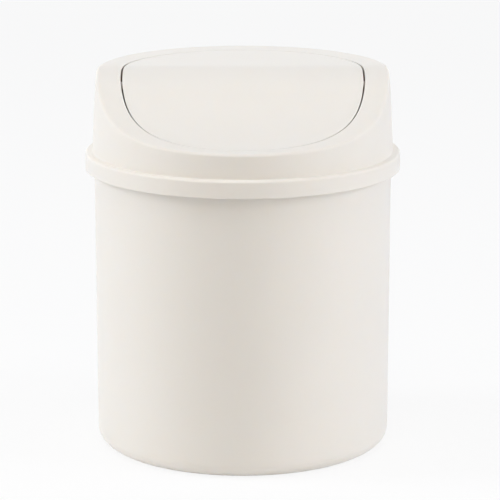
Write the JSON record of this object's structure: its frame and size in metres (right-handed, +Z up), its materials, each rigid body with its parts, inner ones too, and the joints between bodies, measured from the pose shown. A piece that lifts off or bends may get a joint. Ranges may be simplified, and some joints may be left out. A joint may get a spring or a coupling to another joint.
{
  "type": "countertop trash can with swing lid",
  "caption": "Small round countertop bin with a lift-off sloped lid; an oval flap swings both ways on side pins and falls shut by its own weight.",
  "frame": {"origin": "centre of the bin's foot, on the surface that it stands on", "axes": "+Z up along the bin's axis; -Y towards the low front of the lid; +X to the right of someone facing the front"},
  "size_m": [0.138, 0.138, 0.1669],
  "materials": {
    "bin_plastic": "warm off-white polypropylene, fine matte mould texture",
    "lid_plastic": "warm off-white polypropylene, fine matte mould texture",
    "flap_plastic": "warm off-white polypropylene, smooth matte"
  },
  "bodies": {
    "bin": {"bin_body": "bin_plastic"},
    "lid": {"lid_ring": "lid_plastic"},
    "flap": {"swing_flap": "flap_plastic"}
  },
  "joints": [
    {"name": "lid_lift", "type": "slide", "parent": "bin", "child": "lid", "axis": [0, 0, 1], "range_m": [0, 0.06]},
    {"name": "flap_swing", "type": "hinge", "parent": "lid", "child": "flap", "pos_m": [0, -0.00555, 0.15995], "axis": [1, 0, 0], "range_deg": [-75, 75]}
  ]
}
